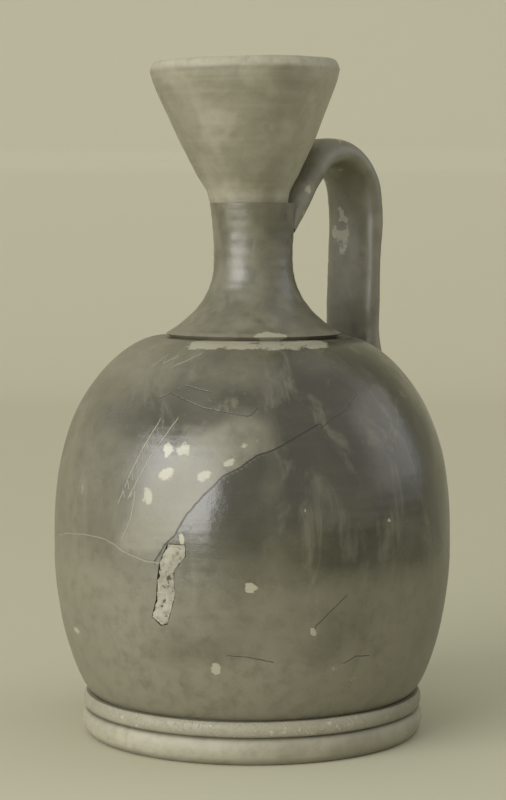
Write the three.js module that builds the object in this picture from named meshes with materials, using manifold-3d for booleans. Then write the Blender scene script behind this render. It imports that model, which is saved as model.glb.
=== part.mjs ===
// Squat oil jug (lekythos) in glazed ceramic, as it was thrown, luted together, broken and mended.
// Millimetres, +Z up. The origin is the centre of the foot's resting ring, on the ground. -Y is the front
// that carries the mended break. The strap handle stands behind on the right, at HANDLE_AZIMUTH.
// The foot, body, neck and mouth were turned one by one on the wheel and luted with clay slip. The handle is
// a pulled strap. The body broke once: its sherds are joined again and a lost strip of wall holds plaster.

import * as THREE from "three";
import { mergeVertices } from "three/addons/utils/BufferGeometryUtils.js";
import Module from "manifold-3d";

const wasm = await Module();
wasm.setup();

const RAD = Math.PI / 180;

// Clearances
const LUTE_GAP = 0.3; // between a turned piece and a piece cut to follow it, where the slip was
const FILL_GAP = 0.3; // between the plaster and the broken edge
const SEAT_GAP = 0.3; // round the body's base, inside the foot's pocket

// Foot: a ring in two degrees, a low torus under a narrow moulding
const FOOT_RADIUS = 46;
const FOOT_GROUND_RADIUS = 43.4;
const FOOT_TORUS_TOP = 6.8;
const FOOT_GROOVE_DEPTH = 1.3; // turned line between the two degrees
const FOOT_GROOVE_WIDTH = 0.5;
const FOOT_MOULDING_RADIUS = 45.7;
const FOOT_MOULDING_ROUND = 1.2;
const FOOT_TOP = 11.2;
const FOOT_INNER_RADIUS = 33.5;
const FOOT_REST_WIDTH = 6.5; // flat ring that touches the ground
const FOOT_INNER_BEVEL = 2; // height of the slope inside that ring
const FOOT_SHELF = 4.2; // height of the shelf that the body's floor stands on

// Body
const BASE_RADIUS = 43; // where the wall meets the foot
const BELLY_RADIUS = 53.3;
const BELLY_Z = 50;
const SEAT_RADIUS = 26.8; // outer edge of the flat that the neck stands on
const SEAT_Z = 106.4;
const BELLY_FULLNESS = 1.8; // powers of the swelling curve below the belly
const BELLY_ROUNDNESS = 1.5;
const SHOULDER_FULLNESS = 2.7; // and above it
const SHOULDER_ROUNDNESS = 1.45;
const BODY_WALL = 4.2;
const FLOOR_THICKNESS = 4.6;
const FLOOR_ROUND = 2; // how far the wall's last bend runs in over the floor
const MOUTH_OF_BODY_RADIUS = 8.8; // opening left at the top of the body
const NIPPLE_RADIUS = 5; // the cone that the turning leaves under the floor
const NIPPLE_HEIGHT = 1.6;

// Lost strip of the body's wall, filled with plaster
const FILL_AZIMUTH = -23.2; // degrees from the front, negative to the left
const FILL_Z = 47;
const FILL_LENGTH = 22;
const FILL_WIDTH = 5.6;
const FILL_LEAN = 10; // degrees from upright

// Neck
const NECK_SHIFT = 0.3; // set a little to the handle side
const FLANGE_RADIUS = 23.4;
const FLANGE_EDGE = 1.0; // height of the flange's edge above the seat
const FLANGE_UNDERCUT = 1.4;
const FLANGE_SWEEP = 2.6; // power of the curve from the waist out to the flange
const NECK_WAIST_RADIUS = 10.6;
const NECK_WAIST_Z = 128;
const NECK_TOP_RADIUS = 11.7;
const NECK_TOP_Z = 142.2;
const NECK_BORE = 6.4;
const NECK_BORE_FLARE_Z = 118; // below it the bore opens out towards the body
const NECK_ENTRY_EASE = 0.6; // its lower end is wider than the body's opening by this

// Mouth
const MOUTH_SHIFT = -0.9; // set a little away from the handle
const MOUTH_LEAN = -1.1; // further shift at the rim
const RIM_TILT = 0.016; // rise of the rim towards the handle side, per millimetre
const MOUTH_BASE_RADIUS = 10.4;
const RIM_RADIUS = 25.4;
const RIM_Z = 177.2; // where the mouth is widest
const LIP_RISE = 2.4; // bevelled lip above it
const LIP_BEVEL = 1.2;
const MOUTH_WALL = 2.7;
const MOUTH_BORE = 7.2;
const MOUTH_BORE_LENGTH = 3; // straight stretch of the bore above the neck

// Handle
const HANDLE_AZIMUTH = 47 * RAD;
const HANDLE_DROP_RADIUS = 42.3; // from the jug's axis to the upright stretch
const HANDLE_TOP_Z = 156.2;
const HANDLE_BEND = 13.6; // radius of the arch, on the strap's middle line
const HANDLE_LEAN = 0.8; // how far the upright stretch comes in as it goes down
const HANDLE_ROOT_DROP = 28.4; // from the seat down to the strap's buried end, cut off by the shoulder
const HANDLE_WIDTH = 18;
const HANDLE_THICKNESS = 6.4;
const HANDLE_ARCH_THICKNESS = 8;

// Facets
const TURNS = 64;
const NECK_TURNS = 48;
const MOUTH_TURNS = 52;
const WALL_STEPS = 22;
const WALL_INNER_STEPS = 14;
const NECK_STEPS = 14;
const MOUTH_STEPS = 12;
const STRAP_SIDES = 20;
const STRAP_STEPS = 36;

// Helpers

const manifoldOf = (geometry) => {
  const bare = geometry.clone();
  bare.deleteAttribute("normal");
  bare.deleteAttribute("uv");
  const merged = mergeVertices(bare, 1e-4);
  return new wasm.Manifold(
    new wasm.Mesh({
      numProp: 3,
      vertProperties: merged.attributes.position.array,
      triVerts: new Uint32Array(merged.index.array),
    }),
  );
};

const geometryOf = (solid) => {
  const mesh = solid.getMesh();
  const geometry = new THREE.BufferGeometry();
  geometry.setAttribute("position", new THREE.BufferAttribute(mesh.vertProperties, 3));
  geometry.setIndex(new THREE.BufferAttribute(mesh.triVerts, 1));
  const flat = geometry.toNonIndexed();
  flat.computeVertexNormals();
  return flat;
};

// Revolves an outline of [radius, z] points about Z. The outline runs upwards on the outside.
const turned = (outline, segments = TURNS) => {
  const points = outline.map(([r, z]) => new THREE.Vector2(r, z));
  const geometry = new THREE.LatheGeometry(points, segments);
  geometry.rotateX(Math.PI / 2);
  return geometry;
};

const vectors = (points) => points.map(([r, z]) => new THREE.Vector2(r, z));

const through = (points, count) =>
  new THREE.SplineCurve(vectors(points)).getPoints(count).map((p) => [p.x, p.y]);

// A quarter of a swelling curve: 1 at t = 0, where it runs upright, and 0 at t = 1.
const swell = (t, fullness, roundness) => (1 - t ** fullness) ** (1 / roundness);

// Moves each point of an upward running outline out by a distance, square to the outline.
const offset = (outline, distance) =>
  outline.map(([r, z], i) => {
    const [r0, z0] = outline[Math.max(i - 1, 0)];
    const [r1, z1] = outline[Math.min(i + 1, outline.length - 1)];
    const length = Math.hypot(r1 - r0, z1 - z0);
    return [r + (distance * (z1 - z0)) / length, z - (distance * (r1 - r0)) / length];
  });

// Closes an upward running outline to the axis, as the solid form that it bounds.
const solidOf = (outline) => [
  [0, outline[0][1]],
  ...outline,
  [0, outline[outline.length - 1][1]],
];

const material = (name, color, roughness) =>
  new THREE.MeshStandardMaterial({ name, color, roughness, metalness: 0 });

const glaze = material("worn_glaze", 0x6b6550, 0.35);
const matt = material("matt_slip", 0x86826c, 0.6);
const plaster = material("plaster", 0xaaa68f, 0.9);

const piece = (name, geometry, finish) => {
  const mesh = new THREE.Mesh(geometry, finish);
  mesh.name = name;
  return mesh;
};

// Foot

// A rounded outline from one height to another, on an ellipse that is widest at a given radius.
const bulge = (widest, depth, bottom, top, fromDegrees, toDegrees, count) => {
  const [from, to] = [fromDegrees * RAD, toDegrees * RAD];
  const rise = (top - bottom) / (Math.sin(to) - Math.sin(from));
  return Array.from({ length: count + 1 }, (_, i) => {
    const angle = from + ((to - from) * i) / count;
    return [widest - depth * (1 - Math.cos(angle)), bottom + rise * (Math.sin(angle) - Math.sin(from))];
  });
};

const footOutline = () => {
  const spread = FOOT_RADIUS - FOOT_GROUND_RADIUS;
  const mouldingFoot = FOOT_TORUS_TOP + FOOT_GROOVE_WIDTH;
  const pocket = BASE_RADIUS + SEAT_GAP;
  const restInner = FOOT_GROUND_RADIUS - FOOT_REST_WIDTH;
  return [
    [restInner, 0],
    ...bulge(FOOT_RADIUS, spread, 0, FOOT_TORUS_TOP, -90, 50, 7),
    [FOOT_RADIUS - FOOT_GROOVE_DEPTH, FOOT_TORUS_TOP + FOOT_GROOVE_WIDTH / 2],
    ...bulge(FOOT_MOULDING_RADIUS, FOOT_MOULDING_ROUND, mouldingFoot, FOOT_TOP, -60, 70, 5),
    [pocket, FOOT_TOP],
    [pocket, FOOT_SHELF],
    [FOOT_INNER_RADIUS, FOOT_SHELF],
    [FOOT_INNER_RADIUS, FOOT_INNER_BEVEL],
    [restInner, 0],
  ];
};

// Body

const bodyRadius = (z) => {
  if (z < BELLY_Z) {
    const t = (BELLY_Z - z) / (BELLY_Z - FOOT_TOP);
    return BASE_RADIUS + (BELLY_RADIUS - BASE_RADIUS) * swell(Math.min(t, 1), BELLY_FULLNESS, BELLY_ROUNDNESS);
  }
  const t = (z - BELLY_Z) / (SEAT_Z - BELLY_Z);
  return SEAT_RADIUS + (BELLY_RADIUS - SEAT_RADIUS) * swell(Math.min(t, 1), SHOULDER_FULLNESS, SHOULDER_ROUNDNESS);
};

// The outside of the wall from the foot to the seat, closer together where it turns in.
const wallOutside = (count) => {
  const points = [];
  for (let i = 0; i <= count; i += 1) {
    const t = Math.sin((i / count - 0.5) * Math.PI) / 2 + 0.5;
    const z = FOOT_TOP + (SEAT_Z - FOOT_TOP) * t;
    points.push([bodyRadius(z), z]);
  }
  return points;
};

// The same wall seen from inside, a wall's thickness in.
const wallInside = (count) => {
  const floor = FOOT_SHELF + FLOOR_THICKNESS;
  return offset(wallOutside(count), -BODY_WALL)
    .slice(1, -1)
    .filter(([r, z]) => z > floor + 1 && z < SEAT_Z - BODY_WALL && r > MOUTH_OF_BODY_RADIUS + 1);
};

const bodyOutline = () => {
  const floor = FOOT_SHELF + FLOOR_THICKNESS;
  const outside = wallOutside(WALL_STEPS);
  const inside = wallInside(WALL_INNER_STEPS).reverse();
  return [
    [0, FOOT_SHELF - NIPPLE_HEIGHT],
    [NIPPLE_RADIUS, FOOT_SHELF],
    [BASE_RADIUS, FOOT_SHELF],
    ...outside,
    [MOUTH_OF_BODY_RADIUS, SEAT_Z],
    [MOUTH_OF_BODY_RADIUS, SEAT_Z - BODY_WALL],
    ...inside,
    [inside[inside.length - 1][0] - FLOOR_ROUND, floor],
    [0, floor],
  ];
};

// The broken edge of the lost strip, as [across, up] shares of its size.
const FILL_EDGE = [
  [-0.35, 0.46],
  [0.5, 0.5],
  [0.62, 0.37],
  [0.2, 0.18],
  [0.42, -0.12],
  [0.32, -0.3],
  [0.22, -0.46],
  [-0.12, -0.5],
  [-0.62, -0.42],
  [-0.5, -0.2],
  [-0.58, 0.05],
  [-0.6, 0.22],
];

// Draws a clockwise outline in by a distance, each corner to where its two moved edges cross.
const drawnIn = (corners, distance) =>
  corners.map((corner, i) => {
    const before = corners[(i + corners.length - 1) % corners.length];
    const after = corners[(i + 1) % corners.length];
    const inward = [
      new THREE.Vector2().subVectors(corner, before).normalize(),
      new THREE.Vector2().subVectors(after, corner).normalize(),
    ].map((edge) => new THREE.Vector2(edge.y, -edge.x));
    const mitre = inward[0].clone().add(inward[1]).normalize();
    return corner.clone().addScaledVector(mitre, distance / mitre.dot(inward[0]));
  });

// A prism through the wall with the lost strip's outline, drawn in from the broken edge by a gap.
const fillPrism = (gap) => {
  const edge = FILL_EDGE.map(([across, up]) => new THREE.Vector2(across * FILL_WIDTH, up * FILL_LENGTH));
  const shape = new THREE.Shape(drawnIn(edge, gap));
  const reach = BODY_WALL * 3;
  const geometry = new THREE.ExtrudeGeometry(shape, { depth: reach, bevelEnabled: false });
  geometry.translate(0, 0, bodyRadius(FILL_Z) - reach / 2);
  geometry.rotateZ(-FILL_LEAN * RAD);
  geometry.rotateX(Math.PI / 2);
  geometry.translate(0, 0, FILL_Z);
  geometry.rotateZ(FILL_AZIMUTH * RAD);
  return geometry;
};

// Neck

const neckRadius = (z) => {
  if (z < NECK_WAIST_Z) {
    const t = (NECK_WAIST_Z - z) / (NECK_WAIST_Z - SEAT_Z - FLANGE_EDGE);
    return NECK_WAIST_RADIUS + (FLANGE_RADIUS - NECK_WAIST_RADIUS) * t ** FLANGE_SWEEP;
  }
  const t = (z - NECK_WAIST_Z) / (NECK_TOP_Z - NECK_WAIST_Z);
  return NECK_WAIST_RADIUS + (NECK_TOP_RADIUS - NECK_WAIST_RADIUS) * t ** 2;
};

const neckOutside = (steps) => {
  const flangeZ = SEAT_Z + FLANGE_EDGE;
  const outside = [];
  for (let i = 0; i <= steps; i += 1) {
    const z = flangeZ + (NECK_TOP_Z - flangeZ) * (i / steps) ** 1.4;
    outside.push([neckRadius(z), z]);
  }
  return outside;
};

const neckOutline = () => {
  const outside = neckOutside(NECK_STEPS);
  const entry = MOUTH_OF_BODY_RADIUS + NECK_ENTRY_EASE;
  return [
    [entry, SEAT_Z],
    [FLANGE_RADIUS - FLANGE_UNDERCUT, SEAT_Z],
    ...outside,
    [NECK_BORE, NECK_TOP_Z],
    [NECK_BORE, NECK_BORE_FLARE_Z],
    [entry, SEAT_Z],
  ];
};

// Mouth

const MOUTH_HEIGHT = RIM_Z - NECK_TOP_Z;

// Shares of the way from the mouth's base to its rim: across, then up.
const MOUTH_SHAPE = [
  [0, 0],
  [0.06, 0.1],
  [0.23, 0.23],
  [0.51, 0.47],
  [0.73, 0.7],
  [0.92, 0.885],
  [1, 1],
];

const mouthOutside = (count) => {
  const span = RIM_RADIUS - MOUTH_BASE_RADIUS;
  const shape = MOUTH_SHAPE.map(([across, up]) => [
    MOUTH_BASE_RADIUS + span * across,
    NECK_TOP_Z + MOUTH_HEIGHT * up,
  ]);
  return through(shape, count);
};

const mouthOutline = () => {
  const outside = mouthOutside(MOUTH_STEPS);
  const inside = offset(outside, -MOUTH_WALL)
    .slice(2, -1)
    .filter(([r]) => r > MOUTH_BORE)
    .reverse();
  return [
    ...outside,
    [RIM_RADIUS - LIP_BEVEL / 4, RIM_Z + LIP_RISE / 2],
    [RIM_RADIUS - LIP_BEVEL, RIM_Z + LIP_RISE],
    [RIM_RADIUS - MOUTH_WALL, RIM_Z + LIP_RISE],
    ...inside,
    [MOUTH_BORE, NECK_TOP_Z + MOUTH_BORE_LENGTH],
    [MOUTH_BORE, NECK_TOP_Z],
    [MOUTH_BASE_RADIUS, NECK_TOP_Z],
  ];
};

// The potter's lean: the whole mouth drifts sideways as it rises, and its rim tilts with it.
const leaned = (geometry) => {
  const p = geometry.attributes.position;
  for (let i = 0; i < p.count; i += 1) {
    const t = Math.max(0, (p.getZ(i) - NECK_TOP_Z) / MOUTH_HEIGHT);
    const x = p.getX(i);
    p.setX(i, x + MOUTH_SHIFT + MOUTH_LEAN * t);
    p.setZ(i, p.getZ(i) + RIM_TILT * x * t);
  }
  return geometry;
};

// Handle

// The strap's middle line in its own upright plane, as [distance from the axis, z]: up from the neck,
// over a round arch and down to the shoulder.
const archPoint = (degrees) => [
  HANDLE_DROP_RADIUS - HANDLE_BEND * (1 - Math.cos(degrees * RAD)),
  HANDLE_TOP_Z - HANDLE_BEND * (1 - Math.sin(degrees * RAD)),
];
const strapLine = new THREE.CatmullRomCurve3(
  [
    [NECK_WAIST_RADIUS - 4, NECK_TOP_Z - 6],
    [NECK_WAIST_RADIUS + 1.2, NECK_TOP_Z + 0.6],
    ...[150, 125, 100, 75, 50, 25, 0].map(archPoint),
    [HANDLE_DROP_RADIUS - HANDLE_LEAN / 2, (HANDLE_TOP_Z + SEAT_Z) / 2 - 6],
    [HANDLE_DROP_RADIUS - HANDLE_LEAN, SEAT_Z + 2],
    [HANDLE_DROP_RADIUS - HANDLE_LEAN / 2, SEAT_Z - 9],
    [HANDLE_DROP_RADIUS + 1, SEAT_Z - 18],
    [HANDLE_DROP_RADIUS + 1.8, SEAT_Z - HANDLE_ROOT_DROP],
  ].map(([r, z]) => new THREE.Vector3(r, 0, z)),
  false,
  "centripetal",
);

const strapGeometry = () => {
  const positions = [];
  const triangles = [];
  const across = new THREE.Vector3(0, 1, 0);
  for (let i = 0; i <= STRAP_STEPS; i += 1) {
    const u = i / STRAP_STEPS;
    const centre = strapLine.getPointAt(u);
    const along = strapLine.getTangentAt(u);
    const out = new THREE.Vector3().crossVectors(along, across).normalize();
    const arch = THREE.MathUtils.smoothstep(1 - u, 0.35, 0.75);
    const thick = THREE.MathUtils.lerp(HANDLE_THICKNESS, HANDLE_ARCH_THICKNESS, arch) / 2;
    const flare = THREE.MathUtils.smoothstep(u, 0.8, 1);
    const wide = (HANDLE_WIDTH / 2) * (1 + 0.12 * flare);
    for (let k = 0; k < STRAP_SIDES; k += 1) {
      const a = (k / STRAP_SIDES) * Math.PI * 2;
      const c = Math.cos(a);
      const s = Math.sin(a);
      const point = centre
        .clone()
        .addScaledVector(across, wide * Math.sign(c) * Math.abs(c) ** 0.8)
        .addScaledVector(out, thick * (1 + 0.3 * flare) * Math.sign(s) * Math.abs(s) ** 0.8);
      positions.push(point.x, point.y, point.z);
    }
  }
  for (let i = 0; i < STRAP_STEPS; i += 1) {
    for (let k = 0; k < STRAP_SIDES; k += 1) {
      const a = i * STRAP_SIDES + k;
      const b = i * STRAP_SIDES + ((k + 1) % STRAP_SIDES);
      triangles.push(a, b, b + STRAP_SIDES, a, b + STRAP_SIDES, a + STRAP_SIDES);
    }
  }
  const last = STRAP_STEPS * STRAP_SIDES;
  for (let k = 1; k < STRAP_SIDES - 1; k += 1) {
    triangles.push(0, k + 1, k);
    triangles.push(last, last + k, last + k + 1);
  }
  const geometry = new THREE.BufferGeometry();
  geometry.setAttribute("position", new THREE.Float32BufferAttribute(positions, 3));
  geometry.setIndex(triangles);
  geometry.rotateZ(HANDLE_AZIMUTH);
  return geometry;
};

// Assembly

const foot = manifoldOf(turned(footOutline()));
const wholeBody = manifoldOf(turned(bodyOutline()));
const body = wholeBody.subtract(manifoldOf(fillPrism(0)));
const plasterFill = wholeBody.intersect(manifoldOf(fillPrism(FILL_GAP)));
const neck = manifoldOf(turned(neckOutline(), NECK_TURNS).translate(NECK_SHIFT, 0, 0));
const mouth = manifoldOf(leaned(turned(mouthOutline(), MOUTH_TURNS)));

// The strap's ends follow the forms that they were pressed on, a lute's thickness off.
const bodyForm = manifoldOf(turned(solidOf(offset(wallOutside(WALL_STEPS), LUTE_GAP))));
const neckTopForm = [NECK_TOP_RADIUS + LUTE_GAP, NECK_TOP_Z + LUTE_GAP];
const neckForm = manifoldOf(
  turned(solidOf([...offset(neckOutside(NECK_STEPS), LUTE_GAP), neckTopForm]), NECK_TURNS)
    .translate(NECK_SHIFT, 0, 0),
);
const mouthForm = manifoldOf(leaned(turned(solidOf(offset(mouthOutside(MOUTH_STEPS), LUTE_GAP)), MOUTH_TURNS)));
const strap = manifoldOf(strapGeometry()).subtract(neckForm).subtract(mouthForm).subtract(bodyForm);

const jug = new THREE.Group();
jug.add(
  piece("foot_ring", geometryOf(foot), matt),
  piece("body", geometryOf(body), glaze),
  piece("plaster_fill", geometryOf(plasterFill), plaster),
  piece("neck", geometryOf(neck), glaze),
  piece("mouth", geometryOf(mouth), matt),
  piece("handle", geometryOf(strap), glaze),
);

export default jug;
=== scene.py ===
"""Looks of a squat ceramic oil jug, modelled round its packed construction, with its stage, lights and camera."""

import math

import bmesh
import bpy
import numpy as np
from mathutils import Matrix, Vector, noise


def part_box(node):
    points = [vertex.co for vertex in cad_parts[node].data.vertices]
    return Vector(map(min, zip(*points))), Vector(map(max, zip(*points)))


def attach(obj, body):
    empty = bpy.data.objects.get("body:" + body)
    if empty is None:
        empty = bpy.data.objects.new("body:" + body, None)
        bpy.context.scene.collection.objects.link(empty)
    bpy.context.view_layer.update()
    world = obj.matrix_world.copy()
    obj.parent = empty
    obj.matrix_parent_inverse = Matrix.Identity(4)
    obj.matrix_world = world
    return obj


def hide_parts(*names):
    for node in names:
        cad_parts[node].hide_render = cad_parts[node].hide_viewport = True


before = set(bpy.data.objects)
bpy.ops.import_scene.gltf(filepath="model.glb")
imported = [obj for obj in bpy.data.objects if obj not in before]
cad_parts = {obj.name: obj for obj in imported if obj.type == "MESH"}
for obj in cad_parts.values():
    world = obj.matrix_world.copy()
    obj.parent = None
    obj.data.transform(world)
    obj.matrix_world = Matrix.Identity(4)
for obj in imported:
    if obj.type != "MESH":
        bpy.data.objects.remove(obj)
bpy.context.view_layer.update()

bl_info = {
    "name": "Squat oil jug",
    "version": (1, 0, 0),
    "blender": (4, 5, 0),
    "location": "3D View > Sidebar > Oil jug",
    "description": "Turned, luted and mended ceramic oil jug on a pale table",
    "category": "Add Mesh",
}

MM = 0.001

# The construction's own places, in millimetres
FOOT_LOW, FOOT_HIGH = (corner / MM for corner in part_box("foot_ring"))
BODY_LOW, BODY_HIGH = (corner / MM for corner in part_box("body"))
NECK_LOW, NECK_HIGH = (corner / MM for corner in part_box("neck"))
MOUTH_LOW, MOUTH_HIGH = (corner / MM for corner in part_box("mouth"))

FOOT_TOP = FOOT_HIGH.z
SEAT_Z = BODY_HIGH.z
NECK_TOP = NECK_HIGH.z
BELLY_RADIUS = (BODY_HIGH.x - BODY_LOW.x) / 2
FOOT_RADIUS = (FOOT_HIGH.x - FOOT_LOW.x) / 2
FLANGE_RADIUS = (NECK_HIGH.x - NECK_LOW.x) / 2
NECK_SHIFT = (NECK_HIGH.x + NECK_LOW.x) / 2
RIM_RADIUS = (MOUTH_HIGH.y - MOUTH_LOW.y) / 2
RIM_SHIFT = (MOUTH_HIGH.x + MOUTH_LOW.x) / 2

# Sizes of the construction that its boxes don't show, in millimetres
BELLY_Z = 50
BASE_RADIUS = 43
SEAT_RADIUS = 26.8
BODY_WALL = 4.2
FLOOR_UNDER = 4.2
FLOOR_TOP = 8.8
BODY_OPENING = 8.8
NIPPLE_RADIUS, NIPPLE_HEIGHT = 5, 1.6
FOOT_GROUND_RADIUS = 43.4
TORUS_TOP = 6.8
GROOVE_DEPTH, GROOVE_WIDTH = 1.3, 0.5
MOULDING_RADIUS, MOULDING_ROUND = 45.7, 1.2
FOOT_INNER_RADIUS = 33.5
REST_INNER_RADIUS = 36.9
FOOT_INNER_BEVEL = 2
WAIST_RADIUS, WAIST_Z = 10.6, 128
FLANGE_EDGE = 1.0
FLANGE_UNDERCUT = 1.4
FLANGE_SWEEP = 2.6
NECK_TOP_RADIUS = 11.7
NECK_BORE, NECK_ENTRY = 6.4, 9.4
BORE_FLARE_Z = 118
MOUTH_SHIFT = -0.9
MOUTH_BASE_RADIUS = 10.4
RIM_Z = 177.2
RIM_TILT = 0.016
LIP_RISE, LIP_BEVEL = 2.4, 1.2
MOUTH_WALL = 2.7
MOUTH_BORE, MOUTH_BORE_LENGTH = 7.2, 3
HANDLE_AZIMUTH = math.radians(47)
HANDLE_DROP_RADIUS = 42.3
HANDLE_TOP = 156.2
HANDLE_BEND = 13.6
HANDLE_WIDTH = 18
HANDLE_THICKNESS, ARCH_THICKNESS = 6.4, 8
FILL_AZIMUTH = math.radians(-23.2)
FILL_Z = 47
FILL_LENGTH, FILL_WIDTH = 22, 5.6
FILL_LEAN = math.radians(10)
FILL_GAP = 0.3

# The mended break: its lines as (degrees from the front, height in millimetres)
UPPER_BREAK = (
    (21.5, 86.6), (11.7, 82.6), (6.6, 80.4), (1.4, 78.9), (-3.1, 76.0), (-7.5, 74.1), (-12.9, 69.3),
    (-17.3, 64.7), (-18.6, 62.9), (-20.8, 59.1), (-23.8, 56.7), (-27.0, 51.8),
)
LEFT_BREAK = (
    (-25.6, 51.8), (-29.6, 52.1), (-32.9, 52.8), (-38.3, 54.2), (-40.6, 55.5), (-45.4, 56.6),
    (-53.7, 56.8), (-63.4, 56.0), (-74.0, 54.2),
)
SCRATCH = ((20.5, 86.0), (25.8, 88.6), (29.2, 89.7), (37.7, 94.3))

# Other marks in the same measure
PALE_STROKES = (
    ((-43.5, 100.4), (-40.1, 103.4)), ((-38.8, 101.3), (-33.5, 103.6)), ((-33.3, 100.7), (-22.2, 104.4)),
    ((-37.0, 68.0), (-30.5, 79.5), (-24.0, 88.5)), ((-40.5, 66.5), (-34.0, 80.5), (-30.0, 88.0)),
    ((-33.7, 69.6), (-34.6, 63.0), (-37.7, 57.0)),
)
DARK_STROKES = (
    ((26.9, 43.9), (17.5, 35.8)), ((-7.6, 29.9), (-1.0, 29.6), (6.5, 28.1)),
    ((26.7, 26.5), (31.0, 28.4), (36.5, 28.0)), ((-33.0, 93.0), (-24.0, 96.5), (-14.0, 95.0)),
    ((-30.6, 95.2), (-15.3, 91.2), (-0.9, 89.4), (1.9, 91.6)),
)
# Worn patches as (degrees, height, width, height of the patch, lean in degrees, strength)
PALE_PATCHES = (
    (-25.2, 80.8, 5, 9, 20, 1.0), (-24.8, 74.2, 9, 6, 30, 1.0), (-13.2, 74.6, 9, 5, 30, 1.0),
    (-6.5, 77.6, 7, 4, 30, 0.9), (-2.0, 82.0, 5, 3, 20, 0.8), (0.9, 83.2, 4, 3, 0, 0.8),
    (-30.0, 69.0, 6, 10, 15, 0.8), (-0.5, 46.9, 4, 3.6, 0, 3.0), (16.9, 35.3, 2.4, 2.8, 30, 2.5),
    (-10.6, 25.8, 4, 5, 0, 1.6), (-19.2, 58.4, 2.6, 4.4, 10, 2.0), (-63.7, 30.8, 7, 3.4, 10, 1.2),
    (24.0, 25.0, 9, 4, 25, 0.6), (31.0, 22.0, 7, 5, 20, 0.5), (41.0, 62.0, 1.6, 1.6, 0, 1.5),
    (14.0, 66.0, 1.4, 1.4, 0, 1.5), (-19.5, 80.5, 9, 9, 20, 0.75), (-57.0, 67.0, 2.4, 22, -14, 0.6),
    (-68.8, 42.0, 3, 17, -6, 0.75), (-51.5, 47.5, 1.6, 13, -12, 0.55),
)
MARKS = {
    "pale_strokes": PALE_STROKES, "dark_strokes": DARK_STROKES,
    "upper_break": (UPPER_BREAK,), "left_break": (LEFT_BREAK,), "scratch": (SCRATCH,),
}


# Small helpers

def smooth(edge0, edge1, value):
    """A smooth step from 0 to 1 between two edges, for numbers and arrays."""
    t = np.clip((value - edge0) / (edge1 - edge0), 0, 1)
    return t * t * (3 - 2 * t)


def deselect_all():
    if bpy.context.mode != "OBJECT":
        bpy.ops.object.mode_set(mode="OBJECT")
    bpy.ops.object.select_all(action="DESELECT")


def activate(obj):
    deselect_all()
    obj.select_set(True)
    bpy.context.view_layer.objects.active = obj


def points_of(obj):
    flat = np.empty(len(obj.data.vertices) * 3)
    obj.data.vertices.foreach_get("co", flat)
    return flat.reshape(-1, 3)


def move_points(obj, points):
    obj.data.vertices.foreach_set("co", points.ravel())
    obj.data.update()


def normals_of(obj):
    flat = np.empty(len(obj.data.vertices) * 3)
    obj.data.vertex_normals.foreach_get("vector", flat)
    return flat.reshape(-1, 3)


def noise_at(points, scale, seed, octaves=3):
    """Fractal noise from about -1 to 1 at each point, with features about scale metres wide."""
    shift = Vector((seed * 7.31, seed * 3.17, seed * 5.53))
    return np.array([noise.fractal(Vector(p) / scale + shift, 1.0, 2.0, octaves) for p in points])


# Outlines, as (radius, height) in millimetres

def swell(t, fullness, roundness):
    return (1 - min(t, 1) ** fullness) ** (1 / roundness)


def body_radius(z):
    """The body's outer radius at a height."""
    if z < BELLY_Z:
        t = (BELLY_Z - z) / (BELLY_Z - FOOT_TOP)
        return BASE_RADIUS + (BELLY_RADIUS - BASE_RADIUS) * swell(t, 1.8, 1.5)
    t = (z - BELLY_Z) / (SEAT_Z - BELLY_Z)
    return SEAT_RADIUS + (BELLY_RADIUS - SEAT_RADIUS) * swell(t, 2.7, 1.45)


def neck_radius(z):
    """The neck's outer radius at a height."""
    if z < WAIST_Z:
        t = (WAIST_Z - z) / (WAIST_Z - SEAT_Z - FLANGE_EDGE)
        return WAIST_RADIUS + (FLANGE_RADIUS - WAIST_RADIUS) * t ** FLANGE_SWEEP
    t = (z - WAIST_Z) / (NECK_TOP - WAIST_Z)
    return WAIST_RADIUS + (NECK_TOP_RADIUS - WAIST_RADIUS) * t ** 2


def offset(outline, distance):
    """An upward running outline moved out by a distance, square to itself."""
    moved = []
    for i, (r, z) in enumerate(outline):
        r0, z0 = outline[max(i - 1, 0)]
        r1, z1 = outline[min(i + 1, len(outline) - 1)]
        length = math.hypot(r1 - r0, z1 - z0)
        moved.append((r + distance * (z1 - z0) / length, z - distance * (r1 - r0) / length))
    return moved


def filled_in(outline, step):
    """The same outline with points added, so that none of its lines is longer than a step."""
    points = [outline[0]]
    for (r0, z0), (r1, z1) in zip(outline, outline[1:]):
        parts = max(1, math.ceil(math.hypot(r1 - r0, z1 - z0) / step))
        points += [(r0 + (r1 - r0) * i / parts, z0 + (z1 - z0) * i / parts) for i in range(1, parts + 1)]
    return points


def bulge(widest, depth, bottom, top, from_degrees, to_degrees, count):
    """A rounded stretch of outline on an ellipse that is widest at a given radius."""
    start, end = math.radians(from_degrees), math.radians(to_degrees)
    rise = (top - bottom) / (math.sin(end) - math.sin(start))
    angles = [start + (end - start) * i / count for i in range(count + 1)]
    return [(widest - depth * (1 - math.cos(a)), bottom + rise * (math.sin(a) - math.sin(start))) for a in angles]


def wall_outside(count=120):
    steps = [math.sin((i / count - 0.5) * math.pi) / 2 + 0.5 for i in range(count + 1)]
    heights = [FOOT_TOP + (SEAT_Z - FOOT_TOP) * t for t in steps]
    return [(body_radius(z), z) for z in heights]


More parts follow.
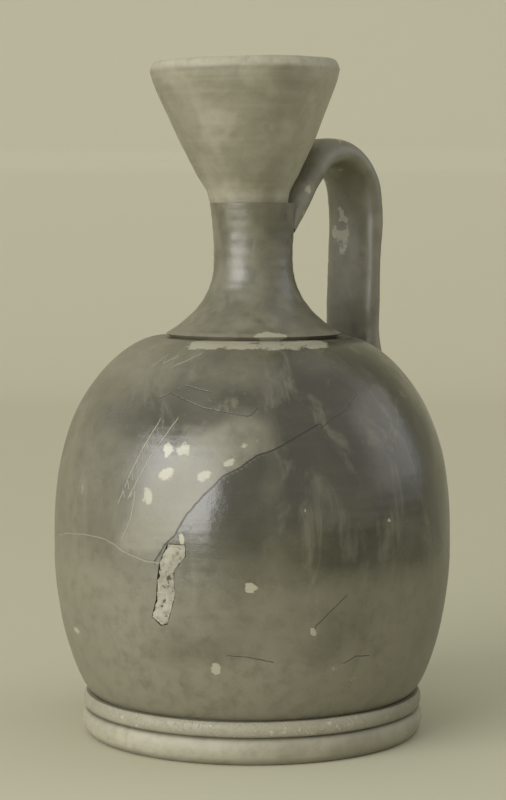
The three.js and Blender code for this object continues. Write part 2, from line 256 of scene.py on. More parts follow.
def body_outline():
    inside = offset(wall_outside(44), -BODY_WALL)[1:-1]
    inside = [
        (r, z) for r, z in inside
        if z > FLOOR_TOP + 1 and z < SEAT_Z - BODY_WALL and r > BODY_OPENING + 1
    ]
    inside.reverse()
    foot = [(0, FLOOR_UNDER - NIPPLE_HEIGHT), (NIPPLE_RADIUS, FLOOR_UNDER), (BASE_RADIUS, FLOOR_UNDER)]
    top = [(BODY_OPENING, SEAT_Z), (BODY_OPENING, SEAT_Z - BODY_WALL)]
    return (
        filled_in(foot + wall_outside()[:1], 3) + filled_in(wall_outside(), 1.1)[1:]
        + filled_in(wall_outside()[-1:] + top, 2)[1:] + inside
        + filled_in([inside[-1], (inside[-1][0] - 2, FLOOR_TOP), (0, FLOOR_TOP)], 4)[1:]
    )


def foot_outline():
    pocket = BASE_RADIUS + 0.3
    outer = bulge(FOOT_RADIUS, FOOT_RADIUS - FOOT_GROUND_RADIUS, 0, TORUS_TOP, -90, 50, 16)
    groove = [(FOOT_RADIUS - GROOVE_DEPTH, TORUS_TOP + GROOVE_WIDTH / 2)]
    moulding = bulge(MOULDING_RADIUS, MOULDING_ROUND, TORUS_TOP + GROOVE_WIDTH, FOOT_TOP, -60, 70, 12)
    closing = [
        (pocket, FOOT_TOP), (pocket, FLOOR_UNDER), (FOOT_INNER_RADIUS, FLOOR_UNDER),
        (FOOT_INNER_RADIUS, FOOT_INNER_BEVEL), (REST_INNER_RADIUS, 0),
    ]
    return filled_in([(REST_INNER_RADIUS, 0)] + outer + groove + moulding + closing, 1.2)


def neck_outside(count=64):
    foot = SEAT_Z + FLANGE_EDGE
    heights = [foot + (NECK_TOP - foot) * (i / count) ** 1.4 for i in range(count + 1)]
    return [(neck_radius(z), z) for z in heights]


def neck_outline():
    start = [(NECK_ENTRY, SEAT_Z), (FLANGE_RADIUS - FLANGE_UNDERCUT, SEAT_Z)]
    bore = [(NECK_BORE, NECK_TOP), (NECK_BORE, BORE_FLARE_Z), (NECK_ENTRY, SEAT_Z)]
    return filled_in(start, 2) + filled_in(neck_outside() + bore, 1.2)


# Shares of the way from the mouth's base to its rim: across, then up
MOUTH_SHAPE = ((0, 0), (0.06, 0.1), (0.23, 0.23), (0.51, 0.47), (0.73, 0.7), (0.92, 0.885), (1, 1))


def mouth_outside(count=48):
    """The funnel's outer outline, on one smooth curve through its shape."""
    shape = np.array(MOUTH_SHAPE)
    along = np.linspace(0, len(shape) - 1, count + 1)
    padded = np.vstack([2 * shape[0] - shape[1], shape, 2 * shape[-1] - shape[-2]])
    points = []
    for value in along:
        i = min(int(value), len(shape) - 2)
        t = value - i
        p0, p1, p2, p3 = padded[i:i + 4]
        share = 0.5 * (
            2 * p1 + (p2 - p0) * t + (2 * p0 - 5 * p1 + 4 * p2 - p3) * t ** 2
            + (3 * p1 - p0 - 3 * p2 + p3) * t ** 3
        )
        radius = MOUTH_BASE_RADIUS + (RIM_RADIUS - MOUTH_BASE_RADIUS) * share[0]
        points.append((radius, NECK_TOP + (RIM_Z - NECK_TOP) * share[1]))
    return points


def mouth_outline():
    outside = mouth_outside()
    inside = [(r, z) for r, z in offset(outside, -MOUTH_WALL)[2:-1] if r > MOUTH_BORE]
    inside.reverse()
    lip = [
        (RIM_RADIUS - LIP_BEVEL / 4, RIM_Z + LIP_RISE / 2),
        (RIM_RADIUS - LIP_BEVEL * 0.7, RIM_Z + LIP_RISE * 0.9),
        (RIM_RADIUS - LIP_BEVEL, RIM_Z + LIP_RISE),
        (RIM_RADIUS - MOUTH_WALL, RIM_Z + LIP_RISE),
    ]
    throat = [(MOUTH_BORE, NECK_TOP + MOUTH_BORE_LENGTH), (MOUTH_BORE, NECK_TOP), (MOUTH_BASE_RADIUS, NECK_TOP)]
    return filled_in(outside + lip + inside + throat, 1.2)


# Modelling steps

def turned(name, outline, steps):
    """A piece spun from a closed outline, as on the wheel."""
    deselect_all()
    bpy.ops.mesh.primitive_plane_add(size=MM, location=(0, 0, 0))
    obj = bpy.context.object
    obj.name = obj.data.name = name
    bpy.ops.object.mode_set(mode="EDIT")
    bpy.ops.mesh.select_all(action="SELECT")
    bpy.ops.mesh.merge(type="CENTER")
    bpy.ops.transform.translate(value=(outline[0][0] * MM, 0, outline[0][1] * MM))
    for (r0, z0), (r1, z1) in zip(outline, outline[1:]):
        move = ((r1 - r0) * MM, 0, (z1 - z0) * MM)
        bpy.ops.mesh.extrude_vertices_move(TRANSFORM_OT_translate={"value": move})
    bpy.ops.mesh.select_all(action="SELECT")
    bpy.ops.mesh.spin(steps=steps, angle=2 * math.pi, center=(0, 0, 0), axis=(0, 0, 1))
    close_up()
    return obj


def close_up():
    """Merges what meets, turns the faces outwards and leaves edit mode."""
    bpy.ops.mesh.select_all(action="SELECT")
    bpy.ops.mesh.remove_doubles(threshold=2e-6)
    bpy.ops.mesh.normals_make_consistent(inside=False)
    bpy.ops.object.mode_set(mode="OBJECT")


def cut(obj, cutter, operation="DIFFERENCE", keep_cutter=False):
    """Cuts an object with another by an applied Boolean."""
    activate(obj)
    modifier = obj.modifiers.new("cut", "BOOLEAN")
    modifier.object = cutter
    modifier.operation = operation
    modifier.solver = "EXACT"
    bpy.ops.object.modifier_apply(modifier=modifier.name)
    if not keep_cutter:
        bpy.data.objects.remove(cutter)
    if not obj.data.vertices:
        raise RuntimeError(f"{obj.name}: the cut left nothing")


def shade(obj, degrees=32):
    activate(obj)
    bpy.ops.object.shade_smooth_by_angle(angle=math.radians(degrees))


def finish(obj, material, node):
    """Gives a piece its finish and its place in the construction."""
    obj.data.materials.clear()
    obj.data.materials.append(material)
    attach(obj, "root")
    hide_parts(node)
    return obj


def leaned(obj):
    """The potter's lean: the mouth drifts sideways as it rises, and its rim tilts with it."""
    points = points_of(obj)
    t = np.clip((points[:, 2] / MM - NECK_TOP) / (RIM_Z - NECK_TOP), 0, None)
    x = points[:, 0].copy()
    points[:, 0] = x + (MOUTH_SHIFT + (RIM_SHIFT - MOUTH_SHIFT) * t) * MM
    points[:, 2] += RIM_TILT * x * t
    move_points(obj, points)
    return obj


def shifted(obj, x):
    activate(obj)
    bpy.ops.object.mode_set(mode="EDIT")
    bpy.ops.mesh.select_all(action="SELECT")
    bpy.ops.transform.translate(value=(x * MM, 0, 0))
    bpy.ops.object.mode_set(mode="OBJECT")
    return obj


def solid_form(name, outside, steps):
    """A plain solid with a piece's outer form, to cut another piece with."""
    return turned(name, [(0, outside[0][1])] + list(outside) + [(0, outside[-1][1])], steps)


def hand_made(obj, amount, scale, seed, ripple=0.0, keep=None):
    """Moves the surface in and out a little, as hands and the wheel leave it."""
    points, normals = points_of(obj), normals_of(obj)
    push = amount * MM * noise_at(points, scale * MM, seed)
    if ripple:
        height = points[:, 2] / MM
        push += ripple * MM * np.sin(height * 2.1 + 1.5 * np.sin(height * 0.31))
    if keep is not None:
        push *= keep(points / MM)
    move_points(obj, points + normals * push[:, None])


# Marks on the surface, stored with the mesh

def azimuth_of(points):
    """Degrees round the jug from the front, negative to the left."""
    return np.degrees(np.arctan2(points[:, 0], -points[:, 1]))


def sector(azimuth, start0, start1, end0, end1):
    """1 between two directions round the jug, fading to 0 on both sides."""
    return smooth(start0, start1, azimuth) * (1 - smooth(end0, end1, azimuth))


def store(obj, name, values):
    attribute = obj.data.attributes.new(name, "FLOAT", "POINT")
    attribute.data.foreach_set("value", np.asarray(values, np.float32))


def line_field(points, line, radius=BELLY_RADIUS):
    """Signed distance in millimetres to a line drawn on the wall, large past its ends."""
    around = np.radians(azimuth_of(points)) * radius
    flat = np.stack([around, points[:, 2]], axis=1)
    route = np.array([(math.radians(a) * radius, z) for a, z in line])
    best = np.full(len(points), 1e3)
    field = np.full(len(points), 1e3)
    for start, end in zip(route, route[1:]):
        run = end - start
        length = np.hypot(*run)
        away = flat - start
        t = np.clip(away @ run / length ** 2, 0, 1)
        gap = np.hypot(*(away - t[:, None] * run).T)
        side = np.sign(run[0] * away[:, 1] - run[1] * away[:, 0])
        nearer = gap < best - 1e-6
        best = np.where(nearer, gap, best)
        field = np.where(nearer, side * gap, field)
    first, last = route[0], route[-1]
    reach_start = ((flat - first) @ (route[1] - first)) / np.hypot(*(route[1] - first))
    reach_end = ((flat - last) @ (route[-2] - last)) / np.hypot(*(route[-2] - last))
    near_start = np.hypot(*(flat - first).T) < 8
    near_end = np.hypot(*(flat - last).T) < 8
    past = np.where(near_start, np.clip(-reach_start, 0, None), 0)
    past += np.where(near_end, np.clip(-reach_end, 0, None), 0)
    front = points[:, 1] < 0
    return np.where(front, field + np.sign(field) * past * 4, 1e3)


def lines_field(points, lines, reach=3.0):
    """Signed distance to the nearest of several lines that lie well apart, large beyond their reach."""
    best = np.full(len(points), 1e3)
    for line in lines:
        field = line_field(points, line)
        best = np.where(np.abs(field) < np.minimum(np.abs(best), reach), field, best)
    return best


def patch(points, azimuth, z, wide, high, lean=0.0, radius=BELLY_RADIUS):
    """A soft oval mark, 1 at its middle and 0 at its edge; sizes in millimetres."""
    x = np.radians(azimuth_of(points) - azimuth) * radius
    y = points[:, 2] - z
    c, s = math.cos(math.radians(lean)), math.sin(math.radians(lean))
    reach = np.hypot((x * c + y * s) / wide * 2, (y * c - x * s) / high * 2)
    return np.clip(1 - reach, 0, 1) * (points[:, 1] < 0)


# Finishes

class Nodes:
    """A short way to write a material's nodes."""

    def __init__(self, name):
        self.material = bpy.data.materials.new(name)
        self.material.use_nodes = True
        self.tree = self.material.node_tree
        self.tree.nodes.clear()
        self.output = self.tree.nodes.new("ShaderNodeOutputMaterial")
        self.shader = self.tree.nodes.new("ShaderNodeBsdfPrincipled")
        self.tree.links.new(self.shader.outputs[0], self.output.inputs[0])
        self.coords = self.tree.nodes.new("ShaderNodeTexCoord").outputs["Object"]

    def put(self, value, socket):
        if isinstance(value, bpy.types.NodeSocket):
            self.tree.links.new(value, socket)
        else:
            socket.default_value = value

    def stretched(self, scale):
        node = self.tree.nodes.new("ShaderNodeMapping")
        self.put(self.coords, node.inputs["Vector"])
        node.inputs["Scale"].default_value = scale
        return node.outputs[0]

    def noise(self, scale, detail=4.0, rough=0.55, distortion=0.0, coords=None):
        node = self.tree.nodes.new("ShaderNodeTexNoise")
        self.put(coords or self.coords, node.inputs["Vector"])
        node.inputs["Scale"].default_value = scale
        node.inputs["Detail"].default_value = detail
        node.inputs["Roughness"].default_value = rough
        node.inputs["Distortion"].default_value = distortion
        return node.outputs["Fac"]

    def ramp(self, value, low, high, out_low=0.0, out_high=1.0):
        node = self.tree.nodes.new("ShaderNodeMapRange")
        node.interpolation_type = "SMOOTHSTEP"
        self.put(value, node.inputs["Value"])
        node.inputs["From Min"].default_value = low
        node.inputs["From Max"].default_value = high
        node.inputs["To Min"].default_value = out_low
        node.inputs["To Max"].default_value = out_high
        return node.outputs["Result"]

    def math(self, operation, a, b=0.0, clamp=False):
        node = self.tree.nodes.new("ShaderNodeMath")
        node.operation = operation
        node.use_clamp = clamp
        self.put(a, node.inputs[0])
        self.put(b, node.inputs[1])
        return node.outputs[0]

    def attribute(self, name):
        node = self.tree.nodes.new("ShaderNodeAttribute")
        node.attribute_name = name
        return node.outputs["Fac"]

    def mix(self, factor, a, b):
        node = self.tree.nodes.new("ShaderNodeMix")
        node.data_type = "RGBA"
        self.put(factor, node.inputs[0])
        self.put(a if isinstance(a, bpy.types.NodeSocket) else (*a, 1), node.inputs[6])
        self.put(b if isinstance(b, bpy.types.NodeSocket) else (*b, 1), node.inputs[7])
        return node.outputs[2]

    def line(self, name, width, wobble):
        """A hairline where a stored signed distance is near nothing, with an uneven width."""
        shaken = self.math("ADD", self.attribute(name), self.math("MULTIPLY_ADD", wobble, 0.5))
        gap = self.math("ABSOLUTE", shaken)
        return self.ramp(gap, width * 0.5, width, 1.0, 0.0)

    def finish(self, colour, roughness, height, strength, distance, ior=1.5):
        bump = self.tree.nodes.new("ShaderNodeBump")
        bump.inputs["Strength"].default_value = strength
        bump.inputs["Distance"].default_value = distance
        self.put(height, bump.inputs["Height"])
        self.put(bump.outputs[0], self.shader.inputs["Normal"])
        self.put(colour, self.shader.inputs["Base Color"])
        self.put(roughness, self.shader.inputs["Roughness"])
        self.shader.inputs["IOR"].default_value = ior
        return self.material


def glaze(name, look, marks=()):
    """Dark slip with an aged gloss: mottled, streaked by the wheel and lighter in places. The lighter places are
    partly real abrasion and partly painted light: on the body a painted window reflection and a painted highlight
    under the flange, and painted shade on its upper right.
    """
    n = Nodes(name)
    broad = n.noise(38, 5, 0.6, 0.5)
    fine = n.noise(260, 6, 0.65)
    specks = n.noise(900, 3, 0.6)
    wheel = n.noise(1, 5, 0.6, 0.2, n.stretched((22, 22, 420)))
    mottled = n.mix(n.ramp(broad, 0.35, 0.68), tuple(look.dark), tuple(look.brown))
    mottled = n.mix(n.ramp(wheel, 0.45, 0.8, 0.0, 0.25), mottled, tuple(look.brown))
    runs = n.noise(1, 5, 0.62, 1.4, n.stretched((95, 95, 34)))
    mottled = n.mix(n.ramp(runs, 0.5, 0.74, 0.0, 0.55), mottled, tuple(look.worn_and_lit))
    # Paler glaze from the stored mask: real abrasion, and painted light where the mask carries it.
    rubbed_and_lit = n.math("MULTIPLY", n.attribute("wear_and_light"), n.ramp(fine, 0.25, 0.6, 0.6, 1.0))
    colour = n.mix(rubbed_and_lit, mottled, tuple(look.worn_and_lit))
    pits = n.ramp(specks, 0.68, 0.78)
    colour = n.mix(n.math("MULTIPLY", pits, 0.5), colour, tuple(look.worn_and_lit))
    ragged = n.math("ADD", n.attribute("pale"), n.math("MULTIPLY", n.math("SUBTRACT", n.noise(240, 5, 0.7), 0.5), 1.6))
    pale = n.ramp(ragged, 0.42, 0.62, 0.0, 0.9)
    colour = n.mix(pale, colour, tuple(look.bare))
    height = n.math("ADD", n.math("MULTIPLY", fine, 0.5), n.math("MULTIPLY", wheel, 0.22))
    height = n.math("ADD", height, n.math("MULTIPLY", pits, -0.4))
    for mark, width, tone in marks:
        wobble = n.math("SUBTRACT", n.noise(420, 3), 0.5)
        mask = n.line(mark, width, wobble)
        colour = n.mix(mask, colour, tone)
        height = n.math("SUBTRACT", height, n.math("MULTIPLY", mask, 2.5))
    rough = n.math("ADD", n.ramp(broad, 0.3, 0.7, look.gloss, look.gloss + 0.14), n.math("MULTIPLY", rubbed_and_lit, 0.22))
    return n.finish(colour, rough, height, 0.35, 0.0004, 1.62)


def matt(name, look):
    """Dull slip, stained and speckled, with pale crust where it is stored. It is paler in places, partly from real
    abrasion and partly from painted light: painted light on the mouth's right side and a painted highlight on the
    foot's left front.
    """
    n = Nodes(name)
    broad = n.noise(55, 6, 0.62, 0.8)
    fine = n.noise(330, 6, 0.65)
    wheel = n.noise(1, 4, 0.55, 0.1, n.stretched((14, 14, 520)))
    colour = n.mix(n.ramp(broad, 0.32, 0.68), tuple(look.stain), tuple(look.slip))
    colour = n.mix(n.ramp(wheel, 0.46, 0.8, 0.0, 0.22), colour, tuple(look.rubbed_and_lit))
    colour = n.mix(n.ramp(fine, 0.56, 0.72, 0.0, 0.35), colour, tuple(look.stain))
    # Paler slip from the stored mask: real abrasion, and painted light on the mouth and foot where the mask carries
    # it.
    worn_and_lit = n.math("MULTIPLY", n.attribute("wear_and_light"), n.ramp(fine, 0.25, 0.6, 0.5, 1.0))
    colour = n.mix(worn_and_lit, colour, tuple(look.rubbed_and_lit))
    crust = n.math("MULTIPLY", n.attribute("pale"), n.ramp(n.noise(420, 6, 0.75, 1.2), 0.54, 0.62))
    colour = n.mix(crust, colour, tuple(look.crust))
    # Darker where the stored groove mask is set.
    groove_dark = n.attribute("groove_dark")
    colour = n.mix(n.math("MULTIPLY", groove_dark, 0.8), colour, tuple(look.groove_dark))
    height = n.math("ADD", n.math("MULTIPLY", fine, 0.9), n.math("MULTIPLY", wheel, 0.2))
    height = n.math("ADD", height, n.math("MULTIPLY", crust, 1.5))
    return n.finish(colour, n.ramp(fine, 0.3, 0.7, look.gloss, look.gloss + 0.2), height, 0.5, 0.0004)


def plaster(name, look):
    """Rough pale filling with pits and a dirty edge."""
    n = Nodes(name)
    grain = n.noise(520, 7, 0.7)
    blotch = n.noise(150, 5, 0.6, 0.6)
    colour = n.mix(n.ramp(blotch, 0.35, 0.65), tuple(look.shade), tuple(look.light))
    pits = n.ramp(grain, 0.42, 0.34)
    colour = n.mix(pits, colour, tuple(look.pit))
    colour = n.mix(n.attribute("edge"), colour, tuple(look.pit))
    height = n.math("ADD", n.math("MULTIPLY", grain, 1.6), n.math("MULTIPLY", pits, -0.8))
    return n.finish(colour, 0.92, height, 0.8, 0.0006)


def colour_setting(name, default, description):
    return bpy.props.FloatVectorProperty(
        name=name, description=description, default=default, size=3, min=0, max=1, subtype="COLOR"
    )


class GlazeLook(bpy.types.PropertyGroup):
    dark: colour_setting("Dark glaze", (0.040, 0.037, 0.021), "Unworn dark slip")
    brown: colour_setting("Thin glaze", (0.078, 0.072, 0.042), "Slip where it lies thin")
    # This colour also paints the window's reflection on the body.
    worn_and_lit: colour_setting("Worn glaze", (0.180, 0.168, 0.114), "Slip rubbed by use and soil")
    bare: colour_setting("Bare clay", (0.34, 0.322, 0.232), "Chips and scratches through the slip")
    gloss: bpy.props.FloatProperty(
        name="Roughness", description="Roughness of the unworn slip",
        default=0.17, min=0, max=1,
    )


class MattLook(bpy.types.PropertyGroup):
    slip: colour_setting("Slip", (0.225, 0.210, 0.146), "Dull slip of the mouth and foot")
    stain: colour_setting("Stain", (0.170, 0.157, 0.104), "Darker stains")
    # This colour also paints the light on the mouth's right side and the highlight on the foot.
    rubbed_and_lit: colour_setting("Rubbed slip", (0.350, 0.332, 0.240), "Edges rubbed pale")
    crust: colour_setting("Crust", (0.46, 0.44, 0.33), "Lime crust left by the soil")
    # Colour of the darker line in the foot's groove and where the foot meets the body.
    groove_dark: colour_setting("Darkening", (0.055, 0.050, 0.030), "Dirt in grooves")
    gloss: bpy.props.FloatProperty(
        name="Roughness", description="Roughness of the smoothest slip",
        default=0.42, min=0, max=1,
    )


class PlasterLook(bpy.types.PropertyGroup):
    light: colour_setting("Plaster", (0.39, 0.37, 0.285), "Dry plaster")
    shade: colour_setting("Dull plaster", (0.29, 0.272, 0.205), "Dirty plaster")
    pit: colour_setting("Pits", (0.085, 0.080, 0.055), "Pits and edges")


class StageLook(bpy.types.PropertyGroup):
    ground: colour_setting("Table", (0.535, 0.518, 0.378), "Table near the jug")
    backdrop: colour_setting("Backdrop", (0.67, 0.645, 0.480), "Backdrop")
    window: bpy.props.FloatProperty(
        name="Window", description="Radiant power of the window on the left",
        default=14.0, min=0, unit="POWER",
    )
    fill: bpy.props.FloatProperty(
        name="Fill", description="Radiant power of the fill on the right",
        default=1.2, min=0, unit="POWER",
    )
    sky: bpy.props.FloatProperty(
        name="Room", description="Strength of the light from all round",
        default=0.62, min=0,
    )


# Pieces

class OILJUG_OT_foot(bpy.types.Operator):
    """Turn the ring foot in two degrees"""
    bl_idname = "oiljug.foot"
    bl_label = "Foot ring"

    def execute(self, context):
        foot = turned("jug_foot", foot_outline(), 320)
        hand_made(foot, 0.12, 14, 3, keep=lambda p: smooth(0.6, 2.0, p[:, 2]))
        points = points_of(foot) / MM
        azimuth, z = azimuth_of(points), points[:, 2]
        radius = np.hypot(points[:, 0], points[:, 1])
        spread = noise_at(points, 9, 5) * 0.5 + 0.5
        upper = smooth(TORUS_TOP, TORUS_TOP + 1.2, z) * (radius > BASE_RADIUS + 1)
        crusted = upper * sector(azimuth, -75, -45, 22, 60)
        store(foot, "pale", np.clip(crusted * (0.3 + spread), 0, 1))
        # Painted highlight: the torus is paler round its left front, standing in for the window's highlight on it.
        left = sector(azimuth, -160, -120, -35, 10)
        worn_and_lit = (0.35 * smooth(0.3, 0.7, spread) + 0.3 + 0.45 * left) * (1 - upper)
        worn_and_lit = worn_and_lit + 0.5 * upper * sector(azimuth, -160, -130, 35, 60)
        store(foot, "wear_and_light", np.clip(worn_and_lit, 0, 1) * smooth(0.5, 2.5, z))
        # Darker in the groove and where the foot meets the body.
        groove = np.exp(-((z - TORUS_TOP - GROOVE_WIDTH / 2) / 0.55) ** 2)
        junction = (1 - smooth(BASE_RADIUS + 0.5, BASE_RADIUS + 1.4, radius)) * (z > FOOT_TOP - 2)
        store(foot, "groove_dark", np.clip(groove + junction, 0, 1) * (radius > FOOT_INNER_RADIUS + 2))
        shade(foot)
        finish(foot, matt("matt_slip_foot", context.scene.oiljug_matt), "foot_ring")
        return {"FINISHED"}


class OILJUG_OT_body(bpy.types.Operator):
    """Turn the body, mark its real abrasion together with painted light and shade, and cut the lost strip out of its
    wall, then fill it with plaster
    """
    bl_idname = "oiljug.body"
    bl_label = "Body and plaster fill"

    def execute(self, context):
        body = turned("jug_body", body_outline(), 300)
        outside = lambda p: (np.hypot(p[:, 0], p[:, 1]) > SEAT_RADIUS) * smooth(FOOT_TOP, FOOT_TOP + 3, p[:, 2])
        hand_made(body, 0.18, 22, 11, ripple=0.006, keep=outside)
        activate(body)
        bpy.ops.object.duplicate()
        fill = context.object
        fill.name = fill.data.name = "jug_plaster_fill"
        cut(body, fill_prism(0.0))
        cut(fill, fill_prism(FILL_GAP / 4), "INTERSECT")
        self.mark_body(body)
        self.roughen(fill)
        shade(body)
        shade(fill, 50)
        lines = (
            ("pale_strokes", 0.22, (0.22, 0.207, 0.146)),
            ("dark_strokes", 0.16, (0.040, 0.037, 0.022)),
            ("upper_break", 0.24, (0.020, 0.018, 0.010)),
            ("left_break", 0.24, (0.20, 0.19, 0.13)),
            ("scratch", 0.14, (0.026, 0.024, 0.014)),
        )
        finish(body, glaze("worn_glaze_body", context.scene.oiljug_glaze, lines), "body")
        finish(fill, plaster("plaster", context.scene.oiljug_plaster), "plaster_fill")
        return {"FINISHED"}

    def mark_body(self, body):
        points = points_of(body) / MM
        azimuth, z = azimuth_of(points), points[:, 2]
        cloud = noise_at(points, 17, 21) * 0.5 + 0.5
        low = 1 - smooth(40, 62, z + 10 * (cloud - 0.5))
        left = sector(azimuth + 16 * (cloud - 0.5), -160, -110, -62, -18)
        # Darker upper right: partly unworn black slip, partly painted shade where the gloss reflects the dark side of
        # the room.
        right_dark = sector(azimuth, 4, 22, 62, 82) * smooth(44, 60, z)
        # Painted reflection: left of the front, above the upper break, the window's reflection in the gloss is painted
        # in as paler glaze, along with some real scuffing there.
        beyond_break = -line_field(points, UPPER_BREAK)
        rubbed_and_lit = smooth(0, 0.8, beyond_break) * (1 - smooth(9, 17, beyond_break + 8 * (cloud - 0.5)))
        rubbed_and_lit = rubbed_and_lit * smooth(-44, -36, azimuth) * (1 - smooth(-4, 12, azimuth + 10 * (cloud - 0.5)))
        rubbed_and_lit = rubbed_and_lit * smooth(52, 58, z) * (1 - smooth(84, 92, z + 8 * (cloud - 0.5)))
        ends = smooth(92, 102, z) + 1 - smooth(18, 30, z)
        wear_and_light = 0.7 * low + 0.5 * left - 0.8 * right_dark + 0.7 * (cloud - 0.4)
        store(body, "wear_and_light", np.clip(wear_and_light + 0.95 * rubbed_and_lit + 0.45 * ends, 0, 1))
        # Painted highlight: a pale strip round the shoulder just under the flange, standing in for the light the
        # shoulder catches there.
        highlight_band = smooth(SEAT_Z - 2.8, SEAT_Z - 1.0, z) * sector(azimuth, -40, -28, 36, 48)
        pale = 0.74 * highlight_band
        for azimuth_of_mark, height, wide, high, lean, strength in PALE_PATCHES:
            pale = np.maximum(pale, strength * patch(points, azimuth_of_mark, height, wide, high, lean))
        store(body, "pale", np.clip(pale, 0, 1))
        for name, lines in MARKS.items():
            store(body, name, lines_field(points, lines))

    def roughen(self, fill):
        activate(fill)
        bpy.ops.object.mode_set(mode="EDIT")
        bpy.ops.mesh.select_all(action="SELECT")
        bpy.ops.mesh.quads_convert_to_tris()
        bpy.ops.mesh.subdivide(number_cuts=2)
        bpy.ops.object.mode_set(mode="OBJECT")
        points, normals = points_of(fill), normals_of(fill)
        push = -0.25 + 0.35 * noise_at(points, 0.0016, 8)
        outer = np.hypot(points[:, 0], points[:, 1]) / MM > BELLY_RADIUS - 2
        move_points(fill, points + normals * (np.clip(push, -0.6, 0) * outer * MM)[:, None])
        store(fill, "edge", np.zeros(len(points)))


def fill_prism(gap):
    """A prism through the wall with the lost strip's outline, drawn in from the broken edge by a gap."""
    edge = (
        (-0.35, 0.46), (0.5, 0.5), (0.62, 0.37), (0.2, 0.18), (0.42, -0.12), (0.32, -0.3),
        (0.22, -0.46), (-0.12, -0.5), (-0.62, -0.42), (-0.5, -0.2), (-0.58, 0.05), (-0.6, 0.22),
    )
    corners = np.array([(x * FILL_WIDTH, y * FILL_LENGTH) for x, y in edge])
    runs = np.roll(corners, -1, axis=0) - corners
    runs /= np.hypot(*runs.T)[:, None]
    inward = np.stack([runs[:, 1], -runs[:, 0]], axis=1)
    mitre = inward + np.roll(inward, 1, axis=0)
    mitre /= np.hypot(*mitre.T)[:, None]
    corners = corners + mitre * (gap / np.sum(mitre * inward, axis=1))[:, None]
    deselect_all()
    bpy.ops.mesh.primitive_circle_add(vertices=len(corners), radius=1, fill_type="NGON")
    prism = bpy.context.object
    prism.name = "fill_prism"
    reach = BODY_WALL * 3
    depth = body_radius(FILL_Z) - reach / 2
    place = Matrix.Rotation(FILL_AZIMUTH, 4, "Z") @ Matrix.Translation((0, 0, FILL_Z * MM))
    upright = Matrix.Rotation(math.pi / 2, 4, "X") @ Matrix.Rotation(-FILL_LEAN, 4, "Z")
    for vertex, corner in zip(prism.data.vertices, corners):
        vertex.co = (corner[0] * MM, corner[1] * MM, depth * MM)
    bpy.ops.object.mode_set(mode="EDIT")
    bpy.ops.mesh.select_all(action="SELECT")
    bpy.ops.mesh.extrude_region_move(TRANSFORM_OT_translate={"value": (0, 0, reach * MM)})
    close_up()
    prism.data.transform(place @ upright)
    return prism


class OILJUG_OT_neck(bpy.types.Operator):
    """Turn the neck with its flange and bore"""
    bl_idname = "oiljug.neck"
    bl_label = "Neck"

    def execute(self, context):
        neck = shifted(turned("jug_neck", neck_outline(), 220), NECK_SHIFT)
        outside = lambda p: (np.hypot(p[:, 0], p[:, 1]) > WAIST_RADIUS - 2) * smooth(SEAT_Z, SEAT_Z + 1, p[:, 2])
        hand_made(neck, 0.14, 9, 31, ripple=0.03, keep=outside)
        points = points_of(neck) / MM
        azimuth, z = azimuth_of(points), points[:, 2]
        cloud = noise_at(points, 8, 33) * 0.5 + 0.5
        rim = np.hypot(points[:, 0] - NECK_SHIFT, points[:, 1]) > FLANGE_RADIUS - 1.2
        wear_and_light = 0.25 + 0.35 * smooth(0.35, 0.7, cloud) + 0.35 * rim + 0.3 * (1 - smooth(SEAT_Z + 4, SEAT_Z + 14, z))
        store(neck, "wear_and_light", np.clip(wear_and_light, 0, 1))
        store(neck, "pale", np.clip(1.6 * patch(points, 12, SEAT_Z + 1, 12, 4, radius=FLANGE_RADIUS), 0, 1))
        shade(neck)
        finish(neck, glaze("worn_glaze_neck", context.scene.oiljug_glaze), "neck")
        return {"FINISHED"}


class OILJUG_OT_mouth(bpy.types.Operator):
    """Turn the funnel mouth and lean it as the potter did"""
    bl_idname = "oiljug.mouth"
    bl_label = "Mouth"

    def execute(self, context):
        mouth = leaned(turned("jug_mouth", mouth_outline(), 260))
        hand_made(mouth, 0.14, 13, 41, ripple=0.015, keep=lambda p: smooth(NECK_TOP, NECK_TOP + 2, p[:, 2]))
        points = points_of(mouth) / MM
        z = points[:, 2]
        cloud = noise_at(points, 10, 43) * 0.5 + 0.5
        # Painted light: the mouth's right side is made paler, standing in for light that falls on it from the right.
        right = sector(azimuth_of(points), 15, 60, 120, 160)
        worn_and_lit = 0.9 * smooth(RIM_Z - 0.6, RIM_Z + 1, z) + 0.4 * smooth(0.5, 0.8, cloud) + 0.95 * right
        store(mouth, "wear_and_light", np.clip(worn_and_lit, 0, 1))
        store(mouth, "pale", 0.5 * smooth(0.62, 0.8, cloud) * smooth(RIM_Z - 1, RIM_Z + 1, z))
        store(mouth, "groove_dark", np.zeros(len(points)))
        shade(mouth)
        finish(mouth, matt("matt_slip_mouth", context.scene.oiljug_matt), "mouth")
        return {"FINISHED"}


